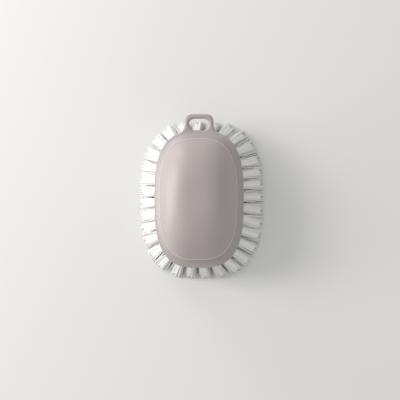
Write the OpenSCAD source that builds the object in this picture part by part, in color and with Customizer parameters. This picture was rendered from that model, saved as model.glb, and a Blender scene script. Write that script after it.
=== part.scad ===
// Palm brush: a domed grip cover on a brush block with a flared collar and a hanging loop, set with tufts
// that splay out.
// Millimetres, +Z up, +Y towards the loop. The origin is where the middle tuft's centre strand stands.

/* [Brush block] */
// Width of the block at its edge
block_w = 70; // [64:1:80]
// Length of the block at its edge, without the loop
block_l = 107; // [100:1:120]
// Squareness of every oval: 2 is an ellipse
oval_power = 2.9; // [2.4:0.1:3.2]
// Height of the block's underside above the bristle tips
bristle_h = 22; // [18:0.5:28]
// How far the underside's bevel runs in from the block's edge
bevel_w = 8.4; // [7.6:0.1:9]
// Rise of that bevel
bevel_h = 5.6; // [4.8:0.1:6.2]
// Thickness of the edge
edge_t = 3; // [2.6:0.1:4]
// Rounding of the edge
edge_r = 1.2; // [0.8:0.1:1.4]
// Rise of the collar from the edge to the waist
collar_rise = 5; // [4.2:0.2:6.4]
// Flare of the collar: 1 is a straight slope, more is hollower
collar_flare = 1.3; // [1:0.1:1.8]
// Height of the waist, the shadow gap between collar and rim
waist_h = 0.8; // [0.5:0.1:1.5]
// Wall of the waist
waist_wall = 2.6; // [2.2:0.1:3]
// Solid plate above the underside, which holds the tufts
plate_t = 10.2; // [9.6:0.1:10.8]

/* [Hanging loop] */
// Width of the eye
eye_w = 16; // [14:0.5:20]
// Height of the eye, along the brush
eye_h = 9; // [8:0.5:11]
// Web between the block's end and the eye
eye_web = 0.5; // [0.3:0.1:2]
// Bar above the eye
loop_bar = 3.7; // [3:0.1:5]
// Bars beside the eye
loop_side = 3.3; // [2.8:0.1:4.5]
// Thickness of the loop
loop_t = 4; // [3.4:0.1:4.4]
// Corner radius outside the loop
loop_corner_r = 5.5; // [4:0.5:7]
// Radius where the loop flows into the block's edge
shoulder_r = 8; // [6:0.5:12]

/* [Grip cover] */
// Width of the cover at its rim
cover_w = 60.5; // [58:0.5:62]
// Length of the cover at its rim
cover_l = 94.5; // [90:0.5:97]
// Overhang of the rim past the waist
rim_overhang = 1.2; // [0.9:0.1:2]
// Height of the rim's upright edge
rim_h = 0.9; // [0.6:0.1:1.6]
// Ledge on top of the rim, outside the dome
rim_ledge = 0.9; // [0.5:0.1:1.4]
// Height of the dome above the rim
dome_h = 16.5; // [13:0.5:22]
// Roundness of the dome: 2 is a parabola, more is flatter on top
dome_power = 3.4; // [2.4:0.1:4]
// Wall of the cover
cover_wall = 2.4; // [2:0.1:3]
// Height of the shelf inside, from the rim's top to where the hollow of the dome starts
shelf_h = 0.9; // [0.6:0.1:1.4]
// Depth of the spigot that locates the cover in the waist
spigot_h = 2.6; // [2:0.1:3]
// Wall of that spigot
spigot_wall = 1.8; // [1.4:0.1:2.2]

/* [Pegs] */
// Diameter of the cover's pegs
peg_d = 6; // [5:0.5:7]
// Distance between pegs across the brush
peg_span_x = 23; // [20:1:26]
// Distance between pegs along the brush
peg_span_y = 46; // [40:1:52]
// Wall of the sockets on the block
socket_wall = 1.9; // [1.5:0.1:2.4]
// Height of the sockets above the plate
socket_h = 3.2; // [2:0.1:3.4]
// How far the sockets are bored into the plate
socket_bore_depth = 1.6; // [1:0.1:2]
// Radial clearance of a peg in its socket
peg_fit = 0.05; // [0.02:0.01:0.1]
// Radial clearance of the spigot in the waist
spigot_fit = 0.15; // [0.1:0.05:0.3]
// Gap between a peg's end and the bottom of its socket
peg_end_gap = 0.3; // [0.2:0.1:0.6]

/* [Tufts] */
// Tufts in the outer row
outer_count = 32; // [28:1:34]
// Tufts in the second row
second_count = 24; // [20:1:26]
// Tufts in the third row
third_count = 16; // [12:1:18]
// Tufts in the middle line
middle_count = 5; // [3:2:5]
// Distance between tufts in the middle line
middle_pitch = 8.5; // [7.5:0.5:9]
// Distance between rows
row_pitch = 10.2; // [9.6:0.1:10.6]
// Outer row's distance in from the block's edge
row_inset = 4.4; // [4.2:0.1:4.8]
// Outward lean of the outer row at the sides, from root to tip
lean_side = 17; // [12:0.5:20]
// Outward lean of the outer row at the ends
lean_end = 11.6; // [8:0.2:13]
// Share of that lean kept by each row further in
lean_keep = 0.33; // [0.2:0.01:0.4]
// Shift of the outer row round its oval, in parts of the distance between tufts
outer_phase = 0.25; // [0:0.05:0.95]
// Diameter of a tuft hole
hole_d = 4.4; // [4:0.1:4.6]
// Depth of a tuft hole
hole_depth = 6; // [5:0.1:6.2]
// Radial clearance of a tuft's root in its hole
root_fit = 0.05; // [0.02:0.01:0.1]
// Across the corners of a strand
strand_d = 1.1; // [0.9:0.05:1.2]
// Strands round the centre strand of a tuft
strand_count = 5; // [4:1:5]
// Their distance from the tuft's centre
strand_ring_r = 1.35; // [1.3:0.05:1.5]
// Widening of a tuft from root to tip
tuft_fan = 1.7; // [1.2:0.1:1.9]
// Thickness of the slice of the underside that joins a row
slice_t = 1.5; // [1:0.1:2]
// Land of the block left round the slices, inside the bevel
slice_land = 0.8; // [0.6:0.1:1]
// Gap between neighbouring slices
slice_gap = 0.1; // [0.05:0.05:0.2]

/* [Anchors] */
// Thickness of the flat wire
anchor_t = 0.4; // [0.3:0.05:0.5]
// Height of the flat wire
anchor_h = 1.8; // [1.4:0.1:2.2]
// Clearance between an anchor and the tuft folded over it
anchor_fit = 0.05; // [0.03:0.01:0.08]
// Thickness of the fold between an anchor and the bottom of its hole
fold_t = 0.8; // [0.6:0.1:1.2]

/* [Hidden] */
oval_sides = 72;
dome_rings = 10;
collar_rings = 4;
fine_sides = 144;
strand_sides = 4;
$fn = 48;

// Heights above the floor
edge_low_z = bristle_h + bevel_h;
edge_top_z = edge_low_z + edge_t;
waist_low_z = edge_top_z + collar_rise;
rim_low_z = waist_low_z + waist_h;
rim_top_z = rim_low_z + rim_h;
plate_top_z = bristle_h + plate_t;

// Half widths and half lengths of the ovals
edge = [block_w, block_l] / 2;
underside = inset(edge, bevel_w);
rim = [cover_w, cover_l] / 2;
dome = inset(rim, rim_ledge);
waist = inset(rim, rim_overhang);
tray = inset(waist, waist_wall);
spigot = inset(tray, spigot_fit);
outer_row = inset(edge, row_inset);
second_row = inset(outer_row, row_pitch);
third_row = inset(second_row, row_pitch);
slice_field = inset(underside, slice_land);
slice_2_3 = (second_row + third_row) / 2;
slice_3_4 = [third_row[0] / 2, third_row[1] - row_pitch / 2];

// Where the outer row leaves the bevel, and the loop's place
outer_root_z = bristle_h + bevel_h * (bevel_w - row_inset) / bevel_w;
eye_y = edge[1] + eye_web + eye_h / 2;
loop_top_y = edge[1] + eye_web + eye_h + loop_bar;
loop_half_w = eye_w / 2 + loop_side;
shelf_z = rim_top_z + shelf_h;
root_d = hole_d - 2 * root_fit;
anchor_w = sqrt(pow(hole_d, 2) - pow(anchor_t, 2));

// How far a strand is rooted in its plug, and how far a cut runs past a face
strand_start = 0.6;
cut_margin = 1;

function outer_tuft_name(i) = str("outer_tuft_", i < 10 ? "0" : "", i);
function inset(oval, by) = [oval[0] - by, oval[1] - by];
function unit(v) = v / norm(v);

// A superellipse: x and y are powers of cosine and sine, kept in their own quarter
function signed_power(v, p) = sign(v) * pow(abs(v), p);
function oval_point(oval, angle) = [
    oval[0] * signed_power(cos(angle), 2 / oval_power),
    oval[1] * signed_power(sin(angle), 2 / oval_power)
];
function oval_points(oval, sides = oval_sides) = [
    for (i = [0 : sides - 1]) oval_point(oval, 360 * i / sides)
];

// Angles of points spaced evenly by length round an oval
function running_sum(v) = [for (i = 0, s = 0; i <= len(v); s = s + (i < len(v) ? v[i] : 0), i = i + 1) s];
function even_angles(oval, count, phase) =
    let (
        p = oval_points(oval, fine_sides),
        steps = [for (i = [0 : fine_sides - 1]) norm(p[(i + 1) % fine_sides] - p[i])],
        sums = running_sum(steps),
        total = sums[fine_sides]
    )
    [for (k = [0 : count - 1]) 360 / fine_sides * lookup_index(sums, total * (k + phase) / count)];
function lookup_index(sums, s) =
    let (below = max([for (i = [0 : len(sums) - 2]) if (sums[i] <= s) i]))
    below + (s - sums[below]) / (sums[below + 1] - sums[below]);

// Height of the dome's outside above the floor at a point seen from above
function dome_radius(x, y) =
    pow(pow(abs(x) / dome[0], oval_power) + pow(abs(y) / dome[1], oval_power), 1 / oval_power);
function dome_z(x, y) = rim_top_z + dome_h * (1 - pow(dome_radius(x, y), dome_power));

// A tuft is [root, tip, direction along its row]
function row_tufts(oval, z, count, phase, lean) = [
    for (a = even_angles(oval, count, phase))
        let (
            root = oval_point(oval, a),
            tip = oval_point(oval + lean, a),
            ahead = oval_point(oval, a + 0.5) - root
        )
        [[root[0], root[1], z], [tip[0], tip[1], 0], unit([ahead[0], ahead[1], 0])]
];
outer_lean = [lean_side, lean_end];
outer_tufts = row_tufts(outer_row, outer_root_z, outer_count, outer_phase, outer_lean);
second_tufts = row_tufts(second_row, bristle_h, second_count, 0.5, outer_lean * lean_keep);
third_tufts = row_tufts(third_row, bristle_h, third_count, 0, outer_lean * pow(lean_keep, 2));
middle_tufts = [
    for (k = [0 : middle_count - 1])
        let (y = (k - (middle_count - 1) / 2) * middle_pitch)
        [[0, y, bristle_h], [0, y, 0], [1, 0, 0]]
];
all_tufts = concat(outer_tufts, second_tufts, third_tufts, middle_tufts);

// A closed solid through ovals given as [half width, half length, z], in order from its lower cap to its upper one
module loft(rings) {
    points = [for (r = rings) for (p = oval_points([r[0], r[1]])) [p[0], p[1], r[2]]];
    last = (len(rings) - 1) * oval_sides;
    bands = [
        for (k = [0 : len(rings) - 2], i = [0 : oval_sides - 1])
            let (
                a = k * oval_sides + i,
                b = k * oval_sides + (i + 1) % oval_sides
            )
            each [[a, a + oval_sides, b + oval_sides], [a, b + oval_sides, b]]
    ];
    low_cap = [for (i = [0 : oval_sides - 1]) i];
    high_cap = [for (i = [oval_sides - 1 : -1 : 0]) last + i];
    polyhedron(points, concat([low_cap], bands, [high_cap]), convexity = 6);
}

module oval_prism(oval, height) {
    linear_extrude(height) polygon(oval_points(oval));
}

// Puts its children in a tuft's own frame: z runs up the hole from its mouth, x along the row
module at_tuft(tuft) {
    up = unit(tuft[0] - tuft[1]);
    across = cross(up, tuft[2]);
    along = cross(unit(across), up);
    side = unit(across);
    multmatrix([
        [along[0], side[0], up[0], tuft[0][0]],
        [along[1], side[1], up[1], tuft[0][1]],
        [along[2], side[2], up[2], tuft[0][2]],
        [0, 0, 0, 1]
    ]) children();
}

// One straight strand between two points
module strand(from, to) {
    v = to - from;
    translate(from)
        rotate([0, acos(v[2] / norm(v)), atan2(v[1], v[0])])
            cylinder(h = norm(v), d = strand_d, $fn = strand_sides);
}

// The window in a tuft's folded root where its anchor passes, up to the fold that bears on it
module anchor_window() {
    width = anchor_t + 2 * anchor_fit;
    height = anchor_h + anchor_fit;
    translate([-hole_d, -width / 2, hole_depth - fold_t - height])
        cube([2 * hole_d, width, height]);
}

// The folded root that fills a hole, and the strands that fan out of it
module tuft(tuft) {
    reach = norm(tuft[0] - tuft[1]) + 2 * cut_margin;
    spread = strand_ring_r * tuft_fan;
    difference() {
        at_tuft(tuft) {
            difference() {
                cylinder(h = hole_depth, d = root_d);
                anchor_window();
            }
            strand([0, 0, strand_start], [0, 0, -reach]);
            for (i = [0 : strand_count - 1])
                let (a = 360 * (i + 0.5) / strand_count)
                    strand(
                        [strand_ring_r * cos(a), strand_ring_r * sin(a), strand_start],
                        [spread * cos(a), spread * sin(a), -reach]
                    );
        }
        translate([-block_w, -block_l, -4 * cut_margin - bristle_h])
            cube([2 * block_w, 2 * block_l, 4 * cut_margin + bristle_h]);
    }
}

// A row's tufts, joined by the slice of the underside that they are set in
module joined_row(tufts, outside, inside) {
    translate([0, 0, bristle_h])
        difference() {
            oval_prism(outside, slice_t);
            if (inside[0] > 0)
                translate([0, 0, -cut_margin]) oval_prism(inside, slice_t + 2 * cut_margin);
        }
    for (t = tufts) tuft(t);
}

// The loop's plan: a rounded frame that flows into the block's end, without the eye
module loop_plan() {
    intersection() {
        offset(r = -shoulder_r) offset(delta = shoulder_r) union() {
            polygon(oval_points(inset(edge, edge_r / 2)));
            hull() {
                for (side = [-1, 1])
                    translate([side * (loop_half_w - loop_corner_r), loop_top_y - loop_corner_r])
                        circle(loop_corner_r);
                translate([-loop_half_w, 0]) square([2 * loop_half_w, 1]);
            }
        }
        translate([-block_w, edge[1] - bevel_w]) square([2 * block_w, block_l]);
    }
}

module eye_plan() {
    r = eye_h / 2;
    translate([0, eye_y]) {
        square([eye_w - eye_h, eye_h], center = true);
        for (side = [-1, 1]) translate([side * (eye_w / 2 - r), 0]) circle(r);
    }
}

// Where the cover's pegs stand
module at_pegs() {
    for (x = [-1, 1], y = [-1, 1])
        translate([x * peg_span_x / 2, y * peg_span_y / 2]) children();
}

module grip_cover() {
    inner = inset(dome, cover_wall);
    inner_h = dome_h - cover_wall;
    shelf_r = pow(1 - (shelf_z - rim_top_z) / inner_h, 1 / dome_power);
    spigot_in = inset(spigot, spigot_wall);
    inner_dome = [
        for (k = [1 : dome_rings])
            let (r = shelf_r * sin(90 * k / dome_rings))
            [inner[0] * r, inner[1] * r, rim_top_z + inner_h * (1 - pow(r, dome_power))]
    ];
    outer_dome = [
        for (k = [dome_rings : -1 : 1])
            let (r = sin(90 * k / dome_rings))
            [dome[0] * r, dome[1] * r, rim_top_z + dome_h * (1 - pow(r, dome_power))]
    ];
    rim_rings = [
        [spigot_in[0], spigot_in[1], shelf_z],
        [spigot_in[0], spigot_in[1], rim_low_z - spigot_h],
        [spigot[0], spigot[1], rim_low_z - spigot_h],
        [spigot[0], spigot[1], rim_low_z],
        [rim[0], rim[1], rim_low_z],
        [rim[0], rim[1], rim_top_z - rim_h / 3],
        [rim[0] - rim_h / 3, rim[1] - rim_h / 3, rim_top_z]
    ];
    peg_low_z = plate_top_z - socket_bore_depth + peg_end_gap;
    peg_top_z = dome_z(peg_span_x / 2, peg_span_y / 2) - cover_wall;
    color([0.66, 0.63, 0.61]) {
        loft(concat(inner_dome, rim_rings, outer_dome));
        at_pegs() translate([0, 0, peg_low_z]) cylinder(h = peg_top_z - peg_low_z, d = peg_d);
    }
}

module block_body() {
    collar = [
        for (k = [0 : collar_rings])
            let (
                t = k / collar_rings,
                oval = (edge - [edge_r, edge_r]) * (1 - t) + waist * t
            )
            [oval[0], oval[1], edge_top_z + collar_rise * pow(t, collar_flare)]
    ];
    loft(concat(
        [
            [underside[0], underside[1], bristle_h],
            [edge[0] - edge_r / 2, edge[1] - edge_r / 2, edge_low_z],
            [edge[0], edge[1], edge_low_z + edge_r / 2],
            [edge[0], edge[1], edge_top_z - edge_r],
            [edge[0] - edge_r / 3, edge[1] - edge_r / 3, edge_top_z - edge_r / 3]
        ],
        collar,
        [
            [waist[0], waist[1], rim_low_z],
            [tray[0], tray[1], rim_low_z],
            [tray[0], tray[1], plate_top_z]
        ]
    ));
}

module brush_block() {
    socket_d = peg_d + 2 * peg_fit;
    color([0.64, 0.61, 0.59])
        difference() {
            union() {
                block_body();
                translate([0, 0, edge_top_z - loop_t]) linear_extrude(loop_t) loop_plan();
                at_pegs() translate([0, 0, plate_top_z - cut_margin])
                    cylinder(h = socket_h + cut_margin, d = socket_d + 2 * socket_wall);
            }
            translate([0, 0, edge_top_z - loop_t - cut_margin])
                linear_extrude(loop_t + 2 * cut_margin) eye_plan();
            at_pegs() translate([0, 0, plate_top_z - socket_bore_depth])
                cylinder(h = socket_bore_depth + socket_h + cut_margin, d = socket_d);
            translate([0, 0, bristle_h - cut_margin])
                oval_prism(slice_field, slice_t + cut_margin);
            for (t = all_tufts) at_tuft(t)
                translate([0, 0, -2 * cut_margin]) cylinder(h = hole_depth + 2 * cut_margin, d = hole_d);
        }
}

module tuft_anchors() {
    color([0.8, 0.79, 0.75])
        for (t = all_tufts) at_tuft(t)
            translate([0, 0, hole_depth - fold_t - anchor_h / 2])
                cube([anchor_w, anchor_t, anchor_h], center = true);
}

module outer_tuft(i) {
    color([0.95, 0.95, 0.94]) tuft(outer_tufts[i - 1]);
}

module second_row_tufts() {
    color([0.95, 0.95, 0.94])
        joined_row(second_tufts, inset(slice_field, slice_gap), slice_2_3);
}

module third_row_tufts() {
    color([0.95, 0.95, 0.94])
        joined_row(third_tufts, inset(slice_2_3, slice_gap), slice_3_4);
}

module middle_row_tufts() {
    color([0.95, 0.95, 0.94])
        joined_row(middle_tufts, inset(slice_3_4, slice_gap), [0, 0]);
}

grip_cover();
brush_block();
tuft_anchors();
for (i = [1 : outer_count])
    outer_tuft(i);
second_row_tufts();
third_row_tufts();
middle_row_tufts();  // middle_tufts
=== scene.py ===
# %% [markdown]
# # A palm brush, seen from above
#
# The object is a scrubbing brush that fills the palm: a domed cover, a brush block under it with a flared
# collar and a hanging loop, and 77 tufts of white nylon that splay out round the edge. The engineering
# model is loaded first, and stays as it is. Every surface below is worked out round it, in metres, in its
# frame: +Z is up out of the dome, +Y runs towards the loop, and the bristle tips stand on z = 0.

# %% The frame
import math

import bpy
import numpy as np
from mathutils import Matrix, Vector


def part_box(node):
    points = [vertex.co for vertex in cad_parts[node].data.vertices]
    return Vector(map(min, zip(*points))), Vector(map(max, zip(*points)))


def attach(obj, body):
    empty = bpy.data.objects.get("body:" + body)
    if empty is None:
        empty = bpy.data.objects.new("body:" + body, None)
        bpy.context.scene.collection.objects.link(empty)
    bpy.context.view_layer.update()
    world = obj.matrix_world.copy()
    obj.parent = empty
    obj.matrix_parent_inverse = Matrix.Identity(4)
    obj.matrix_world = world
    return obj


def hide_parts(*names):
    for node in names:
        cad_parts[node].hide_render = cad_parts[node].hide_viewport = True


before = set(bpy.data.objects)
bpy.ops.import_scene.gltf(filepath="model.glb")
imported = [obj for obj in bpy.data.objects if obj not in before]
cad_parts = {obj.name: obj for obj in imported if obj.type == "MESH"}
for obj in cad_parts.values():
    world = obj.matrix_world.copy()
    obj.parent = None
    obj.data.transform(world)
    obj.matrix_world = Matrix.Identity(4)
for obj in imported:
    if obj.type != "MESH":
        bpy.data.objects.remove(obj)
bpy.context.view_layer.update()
scene = bpy.context.scene
MM = 0.001

# %% [markdown]
# ## Sizes
#
# The frame gives the two mouldings' boxes, so the ovals and the heights come from there. What a box can't
# say, such as a wall or a rounding, is a named value in millimetres, the same as in the engineering model.
# The collar alone stops a little lower than there, so that the waist shows as a thin shadow under the rim.

# %% Sizes of the mouldings
block_low, block_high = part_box("brush_block")
cover_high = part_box("grip_cover")[1]
OVAL_POWER = 2.9

BEVEL_W = 8.4 * MM
BEVEL_H = 5.6 * MM
EDGE_T = 3.0 * MM
COLLAR_RISE = 4.4 * MM
COLLAR_FLARE = 1.3
WAIST_WALL = 2.6 * MM
PLATE_T = 10.2 * MM
RIM_OVERHANG = 1.2 * MM
RIM_H = 0.9 * MM
RIM_LEDGE = 0.9 * MM
COVER_WALL = 2.4 * MM
SHELF_H = 0.9 * MM
SPIGOT_H = 2.6 * MM
SPIGOT_WALL = 1.8 * MM
SPIGOT_FIT = 0.15 * MM
PEG_R = 3.0 * MM
PEG_SPAN = np.array([23.0, 46.0]) * MM
PEG_END_GAP = 0.3 * MM
SOCKET_R = 3.05 * MM
SOCKET_WALL = 1.9 * MM
SOCKET_H = 3.2 * MM
SOCKET_DEPTH = 1.6 * MM

# %% Ovals and heights that follow from them
edge = np.array([block_high.x, -block_low.y])
rim = np.array([cover_high.x, cover_high.y])
waist = rim - RIM_OVERHANG
tray = waist - WAIST_WALL
dome = rim - RIM_LEDGE

underside_z = block_low.z
edge_low_z = underside_z + BEVEL_H
edge_top_z = edge_low_z + EDGE_T
plate_top_z = underside_z + PLATE_T
rim_low_z = block_high.z
rim_top_z = rim_low_z + RIM_H
dome_top_z = cover_high.z
dome_h = dome_top_z - rim_top_z
loop_top_y = block_high.y
print("half sizes, mm: edge", (edge / MM).round(2), "rim", (rim / MM).round(2))
print("dome height, mm:", round(dome_h / MM, 2))

# %% [markdown]
# ## Ovals
#
# Both mouldings are ovals with nearly straight sides and full ends. Lines and arcs would give that too, but
# a highlight shows where they join. A superellipse has no joints. Everything that goes round the brush uses
# the same directions, spaced evenly along the block's edge, so one profile can be carried round an oval ring
# by ring and the rings still line up.

# %% The superellipse and its even spacing
AROUND = 360
FINE_STEPS = 7200


def oval(half, angle, power=OVAL_POWER):
    """Points on a superellipse: x = a·sgn(cos t)·|cos t|^(2/n) and y = b·sgn(sin t)·|sin t|^(2/n)."""
    c = np.cos(angle)
    s = np.sin(angle)
    x = half[0] * np.sign(c) * np.abs(c) ** (2 / power)
    y = half[1] * np.sign(s) * np.abs(s) ** (2 / power)
    return np.stack([x, y], axis=-1)


def even_angles(half, count, phase=0.0):
    """Angles t whose points are evenly spaced: the length s(t) is summed finely and read backwards."""
    t = np.linspace(0, 2 * np.pi, FINE_STEPS + 1)
    steps = np.linalg.norm(np.diff(oval(half, t), axis=0), axis=1)
    s = np.concatenate([[0], np.cumsum(steps)])
    return np.interp(s[-1] * (np.arange(count) + phase) / count, s, t)


AROUND_ANGLES = even_angles(edge, AROUND)


def ring(half, z, power=OVAL_POWER):
    """One oval ring at height z, as an array of AROUND points."""
    flat = oval(half, AROUND_ANGLES, power)
    return np.column_stack([flat, np.full(len(flat), z)])


print("points in a ring:", len(ring(edge, 0)))

# %% [markdown]
# ## From rings to a mesh
#
# A moulding is a stack of rings between two poles. The cover's rings run from its crown over the outside
# to the crown of its hollow, and the block's from the tray's floor over the collar to the underside. The
# faces are index arithmetic on whole arrays: ring k, point j joins ring k + 1. Walked in that direction,
# every face looks outwards. Smooth shading with a limit on the angle keeps real corners crisp.

# %% Mesh helpers
SMOOTH_ANGLE = 32


def grid_faces(rows, cols, close_rows=False):
    """Quads between neighbouring rows of a grid that closes along its columns, as an array of indices."""
    k = np.arange(rows if close_rows else rows - 1)[:, None]
    j = np.arange(cols)[None, :]
    a = k * cols
    b = ((k + 1) % rows) * cols
    n = (j + 1) % cols
    return np.stack([a + j, b + j, b + n, a + n], axis=-1).reshape(-1, 4)


def as_list(faces):
    """Faces as a plain list, whether they come as an array or as a list already."""
    return faces.tolist() if isinstance(faces, np.ndarray) else list(faces)


def shade_smooth(mesh, smooth_angle):
    """Smooth shading, with corners sharper than smooth_angle degrees kept crisp."""
    mesh.polygons.foreach_set("use_smooth", np.ones(len(mesh.polygons), dtype=bool))
    mesh.update()
    mesh.set_sharp_from_angle(angle=math.radians(smooth_angle))


def make_mesh(name, points, quads, triangles=(), smooth_angle=SMOOTH_ANGLE):
    """A mesh object from arrays of points and faces."""
    mesh = bpy.data.meshes.new(name)
    mesh.from_pydata(np.asarray(points).tolist(), [], as_list(quads) + as_list(triangles))
    shade_smooth(mesh, smooth_angle)
    piece = bpy.data.objects.new(name, mesh)
    scene.collection.objects.link(piece)
    return piece


def moulding(name, rings, first_pole, last_pole, smooth_angle=SMOOTH_ANGLE):
    """A closed skin through rings, from one pole to the other."""
    points = np.concatenate([*rings, [first_pole], [last_pole]])
    count = len(rings)
    cols = len(rings[0])
    j = np.arange(cols)
    n = (j + 1) % cols
    end = (count - 1) * cols
    caps = np.concatenate([
        np.column_stack([np.full(cols, count * cols), j, n]),
        np.column_stack([end + j, np.full(cols, count * cols + 1), end + n]),
    ])
    return make_mesh(name, points, grid_faces(count, cols), caps, smooth_angle)


def arc(centre, radius, start, stop, steps):
    """Points (inset, z) on an arc: centre + r·(cos a, sin a), with a from start to stop in degrees."""
    a = np.radians(np.linspace(start, stop, steps + 1))
    return [(centre[0] + radius * math.cos(v), centre[1] + radius * math.sin(v)) for v in a]


print("faces between two rings:", len(grid_faces(2, AROUND)))

# %% [markdown]
# ## The grip cover
#
# The cover is one thin moulding: a dome that is nearly flat on top and falls ever faster to the sides. A
# dome like that could be sculpted, but a formula gives it without a ripple: with r the distance out in oval
# units, z = h·(1 − r^p). The ovals grow rounder towards the top, so that no ridge runs over the crown. The
# thin bead that catches the light in the photograph runs round its foot, as an arc from the dome over the
# rim to its flat underside.

# %% Dome and bead
DOME_POWER = 3.4
DOME_RINGS = 48
CROWN_POWER = 2.2
EASE_REACH = 1.15
EASE_POWER = 1.5
BEAD_R = 0.50 * MM
BEAD_START = 84
BEAD_STEPS = 18
COVER_SMOOTH_ANGLE = 50


def dome_rings(half, height, foot_z, radii):
    """Rings of the dome: half sizes r·(a, b), height h·(1 − r^p), and rounder towards the crown."""
    rings = []
    for r in radii:
        fullness = min(1, EASE_REACH * r) ** EASE_POWER
        power = CROWN_POWER + (OVAL_POWER - CROWN_POWER) * fullness
        rings.append(ring(half * r, foot_z + height * (1 - r ** DOME_POWER), power))
    return rings


def cover_rings():
    """The cover's section, from the crown out over the bead and back inside to the hollow's crown."""
    r = np.sin(np.linspace(0, np.pi / 2, DOME_RINGS + 1))[1:]
    foot_inset = BEAD_R * (1 + math.cos(math.radians(BEAD_START)))
    outside = dome_rings(rim - foot_inset, dome_h, rim_top_z, r)
    section = arc((BEAD_R, rim_low_z + BEAD_R), BEAD_R, BEAD_START, 270, BEAD_STEPS)
    bead = [ring(rim - inset, z) for inset, z in section]
    spigot = tray - SPIGOT_FIT
    spigot_in = spigot - SPIGOT_WALL
    spigot_low_z = rim_low_z - SPIGOT_H
    seat = [
        ring(spigot, rim_low_z),
        ring(spigot, spigot_low_z),
        ring(spigot_in, spigot_low_z),
        ring(spigot_in, rim_top_z + SHELF_H),
    ]
    hollow_h = dome_h - COVER_WALL
    shelf_r = (1 - SHELF_H / hollow_h) ** (1 / DOME_POWER)
    inside = dome_rings(dome - COVER_WALL, hollow_h, rim_top_z, shelf_r * r[::-2])
    return outside + bead + seat + inside, rim_top_z + hollow_h


rings, hollow_top_z = cover_rings()
crown = (0, 0, dome_top_z)
hollow_crown = (0, 0, hollow_top_z)
cover = moulding("grip_cover_shell", rings, crown, hollow_crown, COVER_SMOOTH_ANGLE)
print("cover faces:", len(cover.data.polygons))

# %% [markdown]
# ## The brush block
#
# The block is turned from a profile too: a flat underside, a bevel that the outer tufts stand square to, a
# rounded edge, the collar that sweeps up to the cover, the waist that leaves a thin shadow under the rim,
# and the tray inside. The profile is a list of (inset from the edge, height), carried round the oval. The
# collar is z = z₀ + c·f^k, with f from 0 at the edge to 1 at the waist. A turn is an arc, given as (start,
# stop, steps) with its angles in degrees.

# %% Profile of the block
EDGE_R = 1.2 * MM
EDGE_TURN = (105, 180, 6)
LOWER_R = 1.0 * MM
LOWER_TURN = (180, 236, 5)
LOWER_SINK = 0.75
COLLAR_STEPS = 14
TRAY_STOPS = (0.35, 0.7, 1)
BEVEL_STOPS = (0.25, 0.5, 0.75, 0.98)
FOOT_STOPS = (0.99, 0.75, 0.5, 0.25)


def block_rings():
    """Rings from the tray's floor over the waist, down the collar and bevel, to the underside's middle."""
    inner = [ring(tray * f, plate_top_z) for f in TRAY_STOPS]
    top = [ring(tray, rim_low_z), ring(waist, rim_low_z)]
    collar = [
        ring((edge - EDGE_R) * (1 - f) + waist * f, edge_top_z + COLLAR_RISE * f ** COLLAR_FLARE)
        for f in np.linspace(1, 0, COLLAR_STEPS + 1)
    ]
    edge_turn = arc((EDGE_R, edge_top_z - EDGE_R), EDGE_R, *EDGE_TURN)[1:]
    bevel_turn = arc((LOWER_R, edge_low_z + LOWER_R * LOWER_SINK), LOWER_R, *LOWER_TURN)
    turns = [ring(edge - inset, z) for inset, z in edge_turn + bevel_turn]
    start = np.array(bevel_turn[-1])
    way = np.array([BEVEL_W, underside_z]) - start
    bevel = [ring(edge - inset, z) for inset, z in (start + way * f for f in BEVEL_STOPS)]
    foot = [ring((edge - BEVEL_W) * f, underside_z) for f in FOOT_STOPS]
    return inner + top + collar + turns + bevel + foot


block = moulding("brush_block_body", block_rings(), (0, 0, plate_top_z), (0, 0, underside_z))
print("block faces:", len(block.data.polygons))

# %% [markdown]
# ## The hanging loop
#
# The loop is a flat ring with rounded edges that grows out of the block's end through two hollow shoulders.
# It could be bent from a swept bar, but the real one is part of the moulding and wide where it meets the
# block. So its outline is walked as lines and arcs: over the top bar, down a side, round a shoulder of
# radius R that touches both the side and the oval, and out of sight inside the block.

# %% Outline of the loop
EYE_W = 16.0 * MM
LOOP_SIDE = 3.3 * MM
LOOP_CORNER_R = 5.5 * MM
SHOULDER_R = 8.0 * MM
SHOULDER_CUT = math.radians(12)
ROOT_TURN_R = 2.5 * MM
CORNER_POINTS = 24
SHOULDER_POINTS = 30
LOOP_POINTS = 240
SEARCH_STEPS = 600
OUTLINE_STEPS = 4000

loop_half_w = EYE_W / 2 + LOOP_SIDE


def on_circle(centre, radius, start, stop, count):
    """Points centre + r·(cos a, sin a), with a from start to stop in radians."""
    a = np.linspace(start, stop, count)
    return centre + radius * np.column_stack([np.cos(a), np.sin(a)])


def shoulder_touch():
    """Centre of the circle of radius R beside the loop that just touches the oval, and where it touches."""
    outline = oval(edge, np.linspace(0, np.pi / 2, OUTLINE_STEPS))
    heights = np.linspace(edge[1], edge[1] + SHOULDER_R, SEARCH_STEPS)
    centres = np.column_stack([np.full(SEARCH_STEPS, loop_half_w + SHOULDER_R), heights])
    away = np.linalg.norm(outline[None] - centres[:, None], axis=2)
    best = np.argmin(np.abs(away.min(axis=1) - SHOULDER_R))
    return centres[best], outline[np.argmin(away[best])]


def resample(path, count):
    """A closed path walked again in count equal steps."""
    path = np.vstack([path, path[:1]])
    s = np.concatenate([[0], np.cumsum(np.linalg.norm(np.diff(path, axis=0), axis=1))])
    at = np.linspace(0, s[-1], count, endpoint=False)
    return np.column_stack([np.interp(at, s, path[:, 0]), np.interp(at, s, path[:, 1])])


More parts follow.
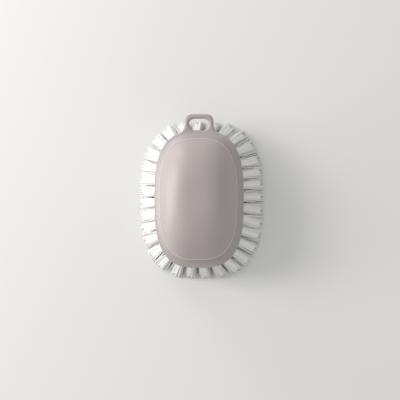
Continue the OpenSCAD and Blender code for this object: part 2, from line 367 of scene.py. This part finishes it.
def loop_outline():
    """Right half from the top's middle: bar, corner arc, side, shoulder arc, a turn inside the block."""
    centre, touch = shoulder_touch()
    end = np.arctan2(*(touch - centre)[::-1]) % (2 * np.pi) - SHOULDER_CUT
    corner = np.array([loop_half_w - LOOP_CORNER_R, loop_top_y - LOOP_CORNER_R])
    corner_arc = on_circle(corner, LOOP_CORNER_R, np.pi / 2, 0, CORNER_POINTS)
    shoulder_arc = on_circle(centre, SHOULDER_R, np.pi, end, SHOULDER_POINTS)
    inner = centre + (shoulder_arc[-1] - centre) * (1 + ROOT_TURN_R / SHOULDER_R)
    root_turn = on_circle(inner, ROOT_TURN_R, end - np.pi, -np.pi / 2, SHOULDER_POINTS)
    right = np.vstack([[0, loop_top_y], corner_arc, shoulder_arc, root_turn[1:]])
    left = (right * [-1, 1])[::-1][:-1]
    return resample(np.vstack([right, left]), LOOP_POINTS)


outer = loop_outline()
print("loop's half width, mm:", round(loop_half_w / MM, 2), "points round it:", len(outer))

# %% [markdown]
# ## The eye
#
# The eye is a slot with round ends. It could be cut out with a Boolean, but then its rim couldn't be rounded
# so easily. So the ring is built round it: each point of the outer outline gets a partner on the eye, in the
# same direction from the eye's middle, and the rows between the two outlines never cross.

# %% Outline of the eye
EYE_H = 9.0 * MM
EYE_WEB = 0.5 * MM
EYE_END_POINTS = 60

eye_y = edge[1] + EYE_WEB + EYE_H / 2


def eye_outline(directions):
    """The slot's point in each direction from the eye's middle."""
    r = EYE_H / 2
    right = on_circle(np.array([EYE_W / 2 - r, eye_y]), r, np.pi / 2, -np.pi / 2, EYE_END_POINTS)
    path = np.vstack([right, (right * [-1, 1])[::-1]])
    angle = np.arctan2(path[:, 1] - eye_y, path[:, 0])
    order = np.argsort(angle)
    wrapped = np.concatenate([angle[order] - 2 * np.pi, angle[order], angle[order] + 2 * np.pi])
    at = [np.interp(directions, wrapped, np.tile(path[order, i], 3)) for i in (0, 1)]
    return np.column_stack(at)


def outward(path, side):
    """Unit normals in the plane of a closed path that runs clockwise; side -1 turns them round."""
    ahead = np.roll(path, -1, axis=0) - np.roll(path, 1, axis=0)
    normal = np.column_stack([-ahead[:, 1], ahead[:, 0]])
    return side * normal / np.linalg.norm(normal, axis=1)[:, None]


inner = eye_outline(np.arctan2(outer[:, 1] - eye_y, outer[:, 0]))
print("eye's middle, mm:", round(eye_y / MM, 2), "points round it:", len(inner))

# %% [markdown]
# ## The loop's section
#
# The section between the two outlines is flat on top and bottom and round at both rims. The ring is a hair
# thinner than in the engineering model, so that its top lies just below the block's edge, because two faces
# in one plane would spoil the join.

# %% The loop's ring
LOOP_T = 4.0 * MM
LOOP_ROUND = 1.6 * MM
LOOP_DROP = 0.06 * MM
ROUND_ROWS = 7

loop_low_z = edge_top_z - LOOP_T


def loop_rows(outer, inner):
    """Rows of the section: P − n·r·(1 − cos a) at height m ± f + r·sin a, rim to eye and back."""
    n_out = outward(outer, 1)
    n_in = outward(inner, -1)
    mid = (loop_low_z + edge_top_z) / 2
    flat = LOOP_T / 2 - LOOP_DROP - LOOP_ROUND
    walks = (
        (outer, n_out, np.linspace(0, 90, ROUND_ROWS)),
        (inner, n_in, np.linspace(90, -90, 2 * ROUND_ROWS - 1)),
        (outer, n_out, np.linspace(-90, 0, ROUND_ROWS)[:-1]),
    )
    rows = []
    for path, normal, angles in walks:
        for a in np.radians(angles):
            inset = LOOP_ROUND * (1 - math.cos(a))
            z = mid + np.sign(a) * flat + LOOP_ROUND * math.sin(a)
            rows.append(np.column_stack([path - normal * inset, np.full(len(path), z)]))
    return np.array(rows)


rows = loop_rows(outer, inner)
loop_faces = grid_faces(len(rows), LOOP_POINTS, close_rows=True)
loop = make_mesh("hanging_loop", rows.reshape(-1, 3), loop_faces)
print("loop faces:", len(loop.data.polygons))

# %% [markdown]
# ## Where the tufts stand
#
# Each tuft has a root in the block and a tip on the floor. The outer row's 32 roots follow the edge, and
# their tips lie further out, most at the sides. The rows inside lean less and less. They could be placed by
# hand, but the photograph hides the inner ones. So one rule places all, as it did in the engineering model,
# and the boxes of its tufts say whether both agree. A row is given as (number of tufts, phase), where the
# phase says how far round the first one stands, in parts of the spacing.

# %% Tuft axes
ROWS = {"outer": (32, 0.25), "second": (24, 0.5), "third": (16, 0.0)}
ROW_INSET = 4.4 * MM
ROW_PITCH = 10.2 * MM
LEAN = np.array([17.0, 11.6]) * MM
LEAN_KEEP = 0.33
MIDDLE_COUNT = 5
MIDDLE_PITCH = 8.5 * MM


def row_of_tufts(half, z, count, phase, lean):
    """Roots on the oval and tips on the oval made larger by lean, as an array [count, 2, 3]."""
    t = even_angles(half, count, phase)
    root = np.column_stack([oval(half, t), np.full(count, z)])
    tip = np.column_stack([oval(half + lean, t), np.zeros(count)])
    return np.stack([root, tip], axis=1)


def out_of_box(box, tip):
    """How far a tip lies outside its tuft's box in the engineering model, below 0 inside it."""
    low, high = box
    return max(low.x - tip[0], tip[0] - high.x, low.y - tip[1], tip[1] - high.y)


outer_half = edge - ROW_INSET
bevel_z = underside_z + BEVEL_H * (BEVEL_W - ROW_INSET) / BEVEL_W
tufts = {}
for k, (row, (count, phase)) in enumerate(ROWS.items()):
    root_z = underside_z if k else bevel_z
    tufts[row] = row_of_tufts(outer_half - k * ROW_PITCH, root_z, count, phase, LEAN * LEAN_KEEP ** k)
middle_y = (np.arange(MIDDLE_COUNT) - MIDDLE_COUNT // 2) * MIDDLE_PITCH
middle_roots = np.column_stack([np.zeros(MIDDLE_COUNT), middle_y, np.full(MIDDLE_COUNT, underside_z)])
tufts["middle"] = np.stack([middle_roots, middle_roots * [1, 1, 0]], axis=1)
tuft_count = sum(len(row) for row in tufts.values())
boxes = [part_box(f"outer_tuft_{i + 1:02d}") for i in range(len(tufts["outer"]))]
outside = [out_of_box(box, tip) for box, (root, tip) in zip(boxes, tufts["outer"])]
print("tufts:", tuft_count, "tips out of their boxes by at most, mm:", round(max(outside) / MM, 3))

# %% [markdown]
# ## Drilling the block
#
# On the real block each tuft sits in its own drilled hole. Dark discs on the underside would look the same
# from far off, but not from close by. So the body and the loop are joined into one solid, and a drill for
# every tuft is taken out of it. Four short tubes on the tray's floor are the sockets for the cover's pegs.
# Drills, tubes and pegs are all cylinders.

# %% Cylinders
DRILL_SIDES = 28
ASIDE = np.array([0.36, 0.48, 0.8])


def cylinder(start, stop, radius):
    """Points of a cylinder between two points, end circle by end circle: C + r·(cos a·u + sin a·v)."""
    start = np.asarray(start, float)
    stop = np.asarray(stop, float)
    way = (stop - start) / np.linalg.norm(stop - start)
    u = np.cross(way, ASIDE)
    u /= np.linalg.norm(u)
    v = np.cross(way, u)
    a = np.linspace(0, 2 * np.pi, DRILL_SIDES, endpoint=False)[:, None]
    circle = radius * (np.cos(a) * u + np.sin(a) * v)
    return np.concatenate([start + circle, stop + circle])


def cylinder_faces(offset):
    """Side quads and the two end polygons of such a cylinder, whose first point has the number offset."""
    j = np.arange(DRILL_SIDES)
    n = (j + 1) % DRILL_SIDES
    quads = np.column_stack([j, n, n + DRILL_SIDES, j + DRILL_SIDES]) + offset
    return quads.tolist() + [(j[::-1] + offset).tolist(), (j + DRILL_SIDES + offset).tolist()]


def cylinders_mesh(name, stretches):
    """Many closed cylinders, given as (start, stop, radius), in one mesh."""
    points = np.concatenate([cylinder(*stretch) for stretch in stretches])
    faces = [face for k in range(len(stretches)) for face in cylinder_faces(k * 2 * DRILL_SIDES)]
    return make_mesh(name, points, faces)


print("faces of a drill:", len(cylinder_faces(0)))

# %% [markdown]
# ## Joining and cutting
#
# Boolean modifiers do the work, and their result becomes the mesh. The order matters: first all that is
# added, then the bores and the drills. Each cutter starts a little outside the solid and each added tube a
# little inside, so no face of one lies in a face of the other.

# %% Drills, sockets and pegs
HOLE_R = 2.2 * MM
HOLE_DEPTH = 6.0 * MM
DRILL_OUT = 2.0 * MM
OVERLAP = 1.0 * MM


def drill(root, tip):
    """From just outside the mouth to the bottom of the hole, along the tuft."""
    up = (root - tip) / np.linalg.norm(root - tip)
    return root - DRILL_OUT * up, root + HOLE_DEPTH * up, HOLE_R


def peg_places(z):
    """The four pegs' middles at height z."""
    return [np.array([x * PEG_SPAN[0] / 2, y * PEG_SPAN[1] / 2, z]) for x in (-1, 1) for y in (-1, 1)]


def apply_boolean(piece, tool, operation, smooth_angle):
    """The piece joined with the tool, or cut by it, as a plain mesh. The tool is removed."""
    cut = piece.modifiers.new(operation, "BOOLEAN")
    cut.operation = operation
    cut.object = tool
    cut.solver = "EXACT"
    shape = piece.evaluated_get(bpy.context.evaluated_depsgraph_get())
    mesh = bpy.data.meshes.new_from_object(shape)
    piece.modifiers.clear()
    piece.data = mesh
    bpy.data.objects.remove(tool)
    shade_smooth(mesh, smooth_angle)


drills = cylinders_mesh("drills", [drill(*pair) for row in tufts.values() for pair in row])
post_low = np.array([0, 0, OVERLAP])
post_high = np.array([0, 0, SOCKET_H])
bore_low = np.array([0, 0, SOCKET_DEPTH])
bore_high = np.array([0, 0, SOCKET_H + OVERLAP])
post_r = SOCKET_R + SOCKET_WALL
places = peg_places(plate_top_z)
posts = cylinders_mesh("posts", [(p - post_low, p + post_high, post_r) for p in places])
bores = cylinders_mesh("bores", [(p - bore_low, p + bore_high, SOCKET_R) for p in places])
apply_boolean(block, loop, "UNION", SMOOTH_ANGLE)
apply_boolean(block, posts, "UNION", SMOOTH_ANGLE)
apply_boolean(block, bores, "DIFFERENCE", SMOOTH_ANGLE)
apply_boolean(block, drills, "DIFFERENCE", SMOOTH_ANGLE)
print("drilled block faces:", len(block.data.polygons))

peg_low_z = plate_top_z - SOCKET_DEPTH + PEG_END_GAP
peg_out = ((PEG_SPAN / 2 / dome) ** OVAL_POWER).sum() ** (1 / OVAL_POWER)
peg_top_z = rim_top_z + dome_h * (1 - peg_out ** DOME_POWER) - COVER_WALL
pegs = cylinders_mesh("pegs", [
    (low, np.array([low[0], low[1], peg_top_z]), PEG_R) for low in peg_places(peg_low_z)
])
apply_boolean(cover, pegs, "UNION", COVER_SMOOTH_ANGLE)
print("cover faces with pegs:", len(cover.data.polygons))

# %% [markdown]
# ## Bristles
#
# A tuft is a bundle of nylon filaments half a millimetre thick, folded into its hole. It comes out as a
# tight round bundle and fans out towards its tips, soon after the hole and most along the row. Hair curves
# would draw that, but the model needs real surfaces. So each filament is a thin square tube with few faces,
# and a whole tuft is worked out at once: the filaments' places in the bundle are a sunflower spiral, r =
# R·√((i + ½)/N) and a = i·137.5°. Two in three are loose, and stray into the gap between two tufts.

# %% Filament paths
FILAMENTS = 105
FILAMENT_R = 0.24 * MM
FREE_STOPS = np.array([0.0, 0.12, 0.3, 0.55, 0.8, 1.0])
ROOT_IN = 2.5 * MM
BUNDLE_HALF = np.array([1.93, 1.93]) * MM
ROUND_POWER = 2
TIP_POWER = 3.4
OPENING = 0.5
LOOSE = 0.66
LOOSE_SPREAD = 1.05
SPIRAL_STEP = math.radians(137.508)
SPIRAL_STRAY = 0.1
BOW = 0.175 * MM
BOW_TURN = 0.9
RAGGED = 0.5 * MM
UPRIGHT = 0.999


def tuft_frame(root, tip):
    """Three unit vectors: down the tuft, and two across it, of which the first is level."""
    way = (tip - root) / np.linalg.norm(tip - root)
    u = np.array([1.0, 0, 0]) if abs(way[2]) > UPRIGHT else np.cross(way, [0.0, 0.0, 1.0])
    u /= np.linalg.norm(u)
    return way, u, np.cross(way, u)


def filament_paths(root, tip, tip_half, rng):
    """Centre lines [N, stops, 3]: straight in the hole, then place + (spread − place)·√f, and bowed."""
    way, u, v = tuft_frame(root, tip)
    i = np.arange(FILAMENTS)
    r = np.sqrt((i + 0.5) / FILAMENTS)[:, None]
    a = i * SPIRAL_STEP + rng.uniform(0, 2 * np.pi)
    a += rng.normal(0, SPIRAL_STRAY, FILAMENTS)
    place = r * oval(BUNDLE_HALF, a, ROUND_POWER)
    spread = r * oval(tip_half, a, TIP_POWER)
    loose = rng.uniform(0, 1, FILAMENTS) < LOOSE
    spread[loose, 0] *= 1 + rng.uniform(0, LOOSE_SPREAD, loose.sum())
    mouth = root + place[:, :1] * u + place[:, 1:] * v
    aim = tip + spread[:, :1] * u + spread[:, 1:] * v
    direction = aim - mouth
    cut = rng.uniform(0, RAGGED, FILAMENTS)
    end = mouth + direction * ((mouth[:, 2] - cut - FILAMENT_R) / -direction[:, 2])[:, None]
    bend = (rng.normal(0, 1, (FILAMENTS, 1)) * u + rng.normal(0, 1, (FILAMENTS, 1)) * v) * BOW
    opening = (spread - place)[:, :1] * u + (spread - place)[:, 1:] * v
    f = FREE_STOPS[None, :, None]
    free = mouth[:, None] * (1 - f) + end[:, None] * f + opening[:, None] * (f ** OPENING - f)
    free += bend[:, None] * np.sin(np.pi * f * BOW_TURN)
    buried = (mouth - way * ROOT_IN)[:, None]
    return np.concatenate([buried, free], axis=1)


print("points along a filament:", len(FREE_STOPS) + 1)

# %% [markdown]
# ## Tubes round the paths
#
# Curves with a round bevel would make tubes too, but thousands of them are slow. So four corners are set
# round every stop of a path and joined ring by ring, and the two ends are closed with a face each.

# %% Filament tubes
SIDES = 4
TUBE_ASIDE = np.array([0.6, 0.64, 0.48])


def tube_arrays(paths, rng):
    """Square tubes round the centre lines: P + r·(cos a·u + sin a·v), with a shade for each filament."""
    count, stops, _ = paths.shape
    way = paths[:, -1] - paths[:, 1]
    way /= np.linalg.norm(way, axis=1)[:, None]
    u = np.cross(way, TUBE_ASIDE)
    u /= np.linalg.norm(u, axis=1)[:, None]
    v = np.cross(way, u)
    a = rng.uniform(0, 2 * np.pi, count)[:, None] + np.arange(SIDES) * 2 * np.pi / SIDES
    circle = np.cos(a)[..., None] * u[:, None] + np.sin(a)[..., None] * v[:, None]
    points = (paths[:, :, None] + FILAMENT_R * circle[:, None]).reshape(-1, 3)
    size = stops * SIDES
    ends = [[3, 2, 1, 0], [size - 4, size - 3, size - 2, size - 1]]
    one = np.concatenate([grid_faces(stops, SIDES)[:, ::-1], ends])
    quads = (one[None] + (np.arange(count) * size)[:, None, None]).reshape(-1, 4)
    shade = np.repeat(rng.uniform(0, 1, count), size)
    return points, quads, np.zeros((0, 3), int), shade


print("faces of a filament:", len(grid_faces(len(FREE_STOPS) + 1, SIDES)) + 2)

# %% [markdown]
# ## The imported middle
#
# A real tuft is so full that no light falls through it. Many more filaments would fill it, but each costs
# faces of its own. So one ribbed body stands for those in the middle, and only its ribs show between the
# others. Each of its sides has a shade of its own, as the filaments have.

# %% Core arrays
CORE_STOPS = np.array([-0.10, 0.0, 0.12, 0.3, 0.55, 0.88])
CORE_SIDES = 96
CORE_RIBS = 24
CORE_SHARE = 0.90
RIB_DEPTH = 0.045
POLE_SHADE = 0.5


def core_arrays(root, tip, tip_half, rng):
    """The bundle's outline, shrunk and ribbed, carried down the tuft: outline·0.9·(1 + 0.045·cos 24a)."""
    way, u, v = tuft_frame(root, tip)
    a = np.linspace(0, 2 * np.pi, CORE_SIDES, endpoint=False)
    open_by = (np.maximum(CORE_STOPS, 0) ** OPENING)[:, None, None]
    flat = (1 - open_by) * oval(BUNDLE_HALF, a, ROUND_POWER) + open_by * oval(tip_half, a, TIP_POWER)
    flat *= (CORE_SHARE * (1 + RIB_DEPTH * np.cos(CORE_RIBS * a)))[None, :, None]
    middle = root + (tip - root) * CORE_STOPS[:, None]
    sides = middle[:, None] + flat[..., :1] * u + flat[..., 1:] * v
    points = np.concatenate([sides.reshape(-1, 3), middle[[0, -1]]])
    end = (len(CORE_STOPS) - 1) * CORE_SIDES
    first_pole = end + CORE_SIDES
    j = np.arange(CORE_SIDES)
    n = (j + 1) % CORE_SIDES
    caps = np.concatenate([
        np.column_stack([np.full(CORE_SIDES, first_pole), n, j]),
        np.column_stack([end + n, np.full(CORE_SIDES, first_pole + 1), end + j]),
    ])
    shade = np.tile(rng.uniform(0, 1, CORE_SIDES), len(CORE_STOPS))
    shade = np.concatenate([shade, [POLE_SHADE, POLE_SHADE]])
    return points, grid_faces(len(CORE_STOPS), CORE_SIDES)[:, ::-1], caps, shade


print("points of a core:", len(CORE_STOPS) * CORE_SIDES + 2)

# %% [markdown]
# ## The bristle pieces
#
# No two tufts of a used brush are alike. Those of the outer row fan out wider the further they lean, and a
# seeded chance pushes each tip a little along the row and makes the fan a little wider or narrower. Each
# piece stands for one node of the engineering model: a tuft of the outer row, or a whole row inside it.

# %% Outer tufts and inner rows
FAN_LEAN = np.array([11.6, 17.0]) * MM
FAN_HALF = np.array([2.9, 3.85]) * MM
FAN_VARIES = (0.90, 1.06)
TIP_THICK = 2.2 * MM
INNER_TIP = np.array([3.0, 2.6]) * MM
SWAY = 0.55 * MM
BRISTLE_SMOOTH_ANGLE = 60


def swayed(pair, rng):
    """The tuft with its tip pushed sideways by use: tip + s·u, with s from a bell curve."""
    root, tip = pair
    return np.array([root, tip + SWAY * rng.normal() * tuft_frame(root, tip)[1]])


def fanned_tip(pair, rng):
    """Half sizes of an outer tuft's tip: wider the further it leans out, and a little by chance."""
    root, tip = pair
    lean = np.linalg.norm((tip - root)[:2])
    return np.array([np.interp(lean, FAN_LEAN, FAN_HALF) * rng.uniform(*FAN_VARIES), TIP_THICK])


def bristle_mesh(node, pairs, tip_half, rng):
    """One piece for all tufts of a node, with each filament's shade as an attribute of its points."""
    parts = [core_arrays(*pair, tip_half, rng) for pair in pairs]
    paths = np.concatenate([filament_paths(*pair, tip_half, rng) for pair in pairs])
    parts.append(tube_arrays(paths, rng))
    start = np.cumsum([0] + [len(points) for points, _, _, _ in parts])
    points = np.concatenate([part[0] for part in parts])
    quads = np.concatenate([part[1] + k for part, k in zip(parts, start)])
    triangles = np.concatenate([part[2] + k for part, k in zip(parts, start)])
    shade = np.concatenate([part[3] for part in parts])
    piece = make_mesh(f"{node}_bristles", points, quads, triangles, BRISTLE_SMOOTH_ANGLE)
    attribute = piece.data.attributes.new("filament", "FLOAT", "POINT")
    attribute.data.foreach_set("value", shade)
    return piece


rng = np.random.default_rng(7)
bristles = {}
for i, pair in enumerate(tufts["outer"]):
    node = f"outer_tuft_{i + 1:02d}"
    moved = swayed(pair, rng)
    bristles[node] = bristle_mesh(node, [moved], fanned_tip(pair, rng), rng)
for row, node in (("second", "second_row_tufts"), ("third", "third_row_tufts"), ("middle", "middle_tufts")):
    bristles[node] = bristle_mesh(node, tufts[row], INNER_TIP, rng)
print("filaments:", tuft_count * FILAMENTS)
print("bristle faces:", sum(len(piece.data.polygons) for piece in bristles.values()))

# %% [markdown]
# ## Finishes
#
# The mouldings are a warm grey plastic with a fine spark-eroded grain: no gloss, a soft sheen, and a colour
# that wanders by a few per cent. The bead is rubbed smoother by hands, and its colour is painted paler as a
# painted highlight, the bright line that its edge catches; the bristles are milky nylon. A photograph of
# plastic could be laid on instead, but it would need a way to unroll each moulding.
# So every pattern reads Object coordinates or an attribute of the mesh, and stays on the surface from any
# side. Constants sit on the shader itself.

# %% Materials and noise
def new_material(name, **constants):
    """A material with one Principled shader, whose plain values are set on its own sockets."""
    material = bpy.data.materials.new(name)
    material.use_nodes = True
    shader = material.node_tree.nodes["Principled BSDF"]
    for key, value in constants.items():
        shader.inputs[key.replace("_", " ")].default_value = value
    return material, material.node_tree, shader


def noise(tree, cells, detail=2, roughness=0.5):
    """A noise texture in Object coordinates, with so many cells to the metre."""
    place = tree.nodes.new("ShaderNodeTexCoord")
    texture = tree.nodes.new("ShaderNodeTexNoise")
    texture.inputs["Scale"].default_value = cells
    texture.inputs["Detail"].default_value = detail
    texture.inputs["Roughness"].default_value = roughness
    tree.links.new(place.outputs["Object"], texture.inputs["Vector"])
    return texture.outputs["Fac"]


print("helpers for materials and noise ready")

# %% [markdown]
# ## Drifts and grain
#
# No real surface has one colour or one sheen all over. A noise lets both drift between two values, and a
# finer one gives the grain. A noise keeps mostly between 0.3 and 0.7, so a drift starts and stops there.

# %% Drift and bump helpers
NOISE_LOW = 0.3
NOISE_HIGH = 0.7


def colour_between(tree, factor, low, high, start=NOISE_LOW, stop=NOISE_HIGH):
    """Runs from the colour low to the colour high as factor goes from start to stop."""
    node = tree.nodes.new("ShaderNodeValToRGB")
    first, last = node.color_ramp.elements
    first.position = start
    first.color = (*low, 1)
    last.position = stop
    last.color = (*high, 1)
    tree.links.new(factor, node.inputs["Fac"])
    return node.outputs["Color"]


def value_between(tree, factor, low, high, start=NOISE_LOW, stop=NOISE_HIGH):
    """Runs from the number low to the number high as factor goes from start to stop."""
    node = tree.nodes.new("ShaderNodeMapRange")
    for key, value in {"From Min": start, "From Max": stop, "To Min": low, "To Max": high}.items():
        node.inputs[key].default_value = value
    tree.links.new(factor, node.inputs["Value"])
    return node.outputs["Result"]


def bump(tree, shader, height, strength, distance):
    """Pushes the shader's normal about by a height in metres."""
    node = tree.nodes.new("ShaderNodeBump")
    node.inputs["Strength"].default_value = strength
    node.inputs["Distance"].default_value = distance
    tree.links.new(height, node.inputs["Height"])
    tree.links.new(node.outputs["Normal"], shader.inputs["Normal"])


def vary_colour(tree, shader, low, high, cells, detail=2):
    """Lets the colour drift from low to high, with so many cells to the metre."""
    colour = colour_between(tree, noise(tree, cells, detail), low, high)
    tree.links.new(colour, shader.inputs["Base Color"])


def vary_roughness(tree, shader, low, high, cells):
    """Lets the roughness drift from low to high in the same way."""
    rough = value_between(tree, noise(tree, cells), low, high)
    tree.links.new(rough, shader.inputs["Roughness"])


print("helpers for drift and grain ready, noise from", NOISE_LOW, "to", NOISE_HIGH)

# %% [markdown]
# ## Plastic, nylon and steel
#
# The grain of the plastic has cells of 0.3 mm, and hardly any height. The nylon takes its shade from the
# filaments, so that a tuft shows its strands even where the light is flat. The wire of the anchors was drawn
# through a die, and keeps its marks.

# %% Materials
GRAIN_CELLS = 3200
GRAIN_ROUGHNESS = 0.6


def moulded_plastic(name, low, high):
    """Warm grey plastic: a slow drift of colour, a fine grain, and a roughness that wanders."""
    material, tree, shader = new_material(name, Specular_IOR_Level=0.5)
    vary_colour(tree, shader, low, high, cells=45)
    vary_roughness(tree, shader, 0.37, 0.47, cells=900)
    grain = noise(tree, GRAIN_CELLS, roughness=GRAIN_ROUGHNESS)
    bump(tree, shader, grain, strength=0.25, distance=0.04 * MM)
    return material


def rim_with_painted_highlight(name, low, high):
    """The bead round the cover, rubbed smooth by hands: less grain, more sheen, and a paler colour that is a
    painted highlight.
    """
    material, tree, shader = new_material(name, Specular_IOR_Level=0.5)
    vary_colour(tree, shader, low, high, cells=60)
    vary_roughness(tree, shader, 0.24, 0.32, cells=700)
    grain = noise(tree, GRAIN_CELLS, roughness=GRAIN_ROUGHNESS)
    bump(tree, shader, grain, strength=0.08, distance=0.03 * MM)
    return material


def milky_nylon(name, low, high):
    """White nylon: each filament has a shade of its own, and its sheen is a little uneven."""
    material, tree, shader = new_material(name, Specular_IOR_Level=0.4)
    own = tree.nodes.new("ShaderNodeAttribute")
    own.attribute_name = "filament"
    colour = colour_between(tree, own.outputs["Fac"], low, high, start=0, stop=1)
    tree.links.new(colour, shader.inputs["Base Color"])
    vary_roughness(tree, shader, 0.36, 0.48, cells=1500)
    return material


def drawn_steel(name, low, high):
    """Flat steel wire with the fine, uneven marks of its drawing."""
    material, tree, shader = new_material(name, Metallic=1.0)
    vary_colour(tree, shader, low, high, cells=600, detail=3)
    vary_roughness(tree, shader, 0.28, 0.45, cells=2500)
    bump(tree, shader, noise(tree, 4000), strength=0.3, distance=0.02 * MM)
    return material


cover_plastic = moulded_plastic("warm_grey_cover", (0.410, 0.367, 0.357), (0.427, 0.382, 0.371))
block_plastic = moulded_plastic("warm_grey_block", (0.404, 0.362, 0.351), (0.420, 0.377, 0.365))
# The bead's paler colour is a painted highlight: the bright line that the rim's edge catches.
rim_plastic_painted_highlight = rim_with_painted_highlight("warm_grey_rim_painted_highlight", (0.580, 0.525, 0.510), (0.6148, 0.5565, 0.5406))
nylon = milky_nylon("milky_nylon", (0.80, 0.80, 0.79), (0.93, 0.93, 0.925))
steel = drawn_steel("drawn_steel", (0.50, 0.49, 0.47), (0.62, 0.61, 0.58))
print("materials:", [m.name for m in (cover_plastic, block_plastic, rim_plastic_painted_highlight, nylon, steel)])

# %% [markdown]
# ## Dressing the frame
#
# Each piece rides on the brush's one body and stands for its engineering node, which stays behind it for the
# physics. The bead's faces take the smoother finish, whose paler colour is a painted highlight along the
# rim. The wire anchors are right as they are, so they only get their steel.

# %% Finish, body and node of every piece
BEAD_MARGIN = 0.02 * MM


def dress(piece, material, node):
    """Gives the piece its finish, its body and the node it stands for."""
    piece.data.materials.clear()
    piece.data.materials.append(material)
    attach(piece, "root")
    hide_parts(node)


def faces_on_bead(mesh):
    """True for faces outside the dome's foot, |x/a|^n + |y/b|^n > 1, and between the bead's two heights."""
    centres = np.empty(3 * len(mesh.polygons))
    mesh.polygons.foreach_get("center", centres)
    centres = centres.reshape(-1, 3)
    out_by = (np.abs(centres[:, :2] / (rim - 2 * BEAD_R)) ** OVAL_POWER).sum(axis=1)
    above = centres[:, 2] > rim_low_z + BEAD_MARGIN
    below = centres[:, 2] < rim_low_z + 2 * BEAD_R
    return (out_by > 1) & above & below


cover.name = "grip_cover_moulding"
block.name = "brush_block_moulding"
dress(cover, cover_plastic, "grip_cover")
# The bead's faces get the paler finish, a painted highlight round the rim.
cover.data.materials.append(rim_plastic_painted_highlight)
on_bead = faces_on_bead(cover.data)
cover.data.polygons.foreach_set("material_index", on_bead.astype(int))
dress(block, block_plastic, "brush_block")
for node, piece in bristles.items():
    dress(piece, nylon, node)
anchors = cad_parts["tuft_anchors"]
anchors.data.materials.clear()
anchors.data.materials.append(steel)
print("dressed pieces:", 2 + len(bristles), "faces on the bead:", on_bead.sum())

# %% [markdown]
# ## Floor
#
# The brush stands on a pale board that reaches past the picture on all sides. Its brightness comes from its
# own colour, so that no lamp has to be turned up for it.

# %% The board
FLOOR_HALF = 1.5


def table_finish():
    """Pale painted board: barely any grain and no gloss."""
    material, tree, shader = new_material("pale_table", Roughness=0.9, Specular_IOR_Level=0.1)
    vary_colour(tree, shader, (0.800, 0.796, 0.790), (0.815, 0.811, 0.805), cells=3)
    return material


corners = np.array([[-1, -1, 0], [1, -1, 0], [1, 1, 0], [-1, 1, 0]]) * FLOOR_HALF
floor = make_mesh("table_top", corners, [[0, 1, 2, 3]])
floor.data.materials.append(table_finish())
print("floor side, m:", 2 * FLOOR_HALF)

# %% [markdown]
# ## Light
#
# The shadow in the photograph falls to the right and a little to the foot, so the light comes from a window
# at the left. One large soft lamp stands for it. A second lies low and gives the left flank of the dome its
# sheen, and a third one shines from the left beyond the loop. A white sky fills the shadows. A single lamp
# would be simpler, but leaves the flanks flat. Each lamp is given as (turn from +X in degrees, rise in
# degrees, distance in metres, power in watts), and is wider the further off it stands.

# %% Lamps and sky
LAMPS = {
    "window_high": (165, 30, 1.6, 13.2),
    "window_low": (180, 8, 0.7, 1.65),
    "window_far_end": (125, 13, 0.75, 1.5),
}
LAMP_SIZE = 0.4
LAMP_COLOUR = (1.0, 0.98, 0.965)
LAMP_AIM = Vector((0, 0, 0.02))
SKY_COLOUR = (1.0, 1.0, 1.0, 1)
SKY_STRENGTH = 0.60


def area_lamp(name, turn, rise, distance, power):
    """A square soft lamp at d·(cos rise·cos turn, cos rise·sin turn, sin rise) that faces the brush."""
    a = math.radians(turn)
    e = math.radians(rise)
    place = distance * Vector((math.cos(e) * math.cos(a), math.cos(e) * math.sin(a), math.sin(e)))
    light = bpy.data.lights.new(name, "AREA")
    light.shape = "SQUARE"
    light.size = LAMP_SIZE * distance
    light.energy = power
    light.color = LAMP_COLOUR
    lamp = bpy.data.objects.new(name, light)
    lamp.location = place
    lamp.rotation_euler = (LAMP_AIM - place).to_track_quat("-Z", "Y").to_euler()
    scene.collection.objects.link(lamp)


for name, values in LAMPS.items():
    area_lamp(name, *values)
world = bpy.data.worlds.new("pale_sky")
world.use_nodes = True
sky = world.node_tree.nodes["Background"]
sky.inputs["Color"].default_value = SKY_COLOUR
sky.inputs["Strength"].default_value = SKY_STRENGTH
scene.world = world
scene.view_settings.view_transform = "Standard"
print("lamps:", list(LAMPS))

# %% [markdown]
# ## Camera
#
# The camera looks almost straight down from about a metre, with the loop at the top of the picture. It
# leans a few degrees to the right and a little towards the foot, which shows in the photograph by how much
# of the left and the right tufts comes out from under the block.

# %% Camera from above
CAMERA_DISTANCE = 0.97
CAMERA_LENS = 112.0
LEAN_TO_RIGHT = math.radians(4.6)
LEAN_TO_FOOT = math.radians(1.4)
CAMERA_AIM = Vector((0.0009, -0.0006, 0.030))

view_way = Vector((math.tan(LEAN_TO_RIGHT), -math.tan(LEAN_TO_FOOT), 1)).normalized()
side_way = Vector((0, 1, 0)).cross(view_way).normalized()
up_way = view_way.cross(side_way)
lens = bpy.data.cameras.new("camera")
lens.lens = CAMERA_LENS
camera = bpy.data.objects.new("camera", lens)
camera.location = CAMERA_AIM + CAMERA_DISTANCE * view_way
camera.rotation_euler = Matrix((side_way, up_way, view_way)).transposed().to_euler()
scene.collection.objects.link(camera)
scene.camera = camera
print("camera at, m:", [round(c, 3) for c in camera.location])
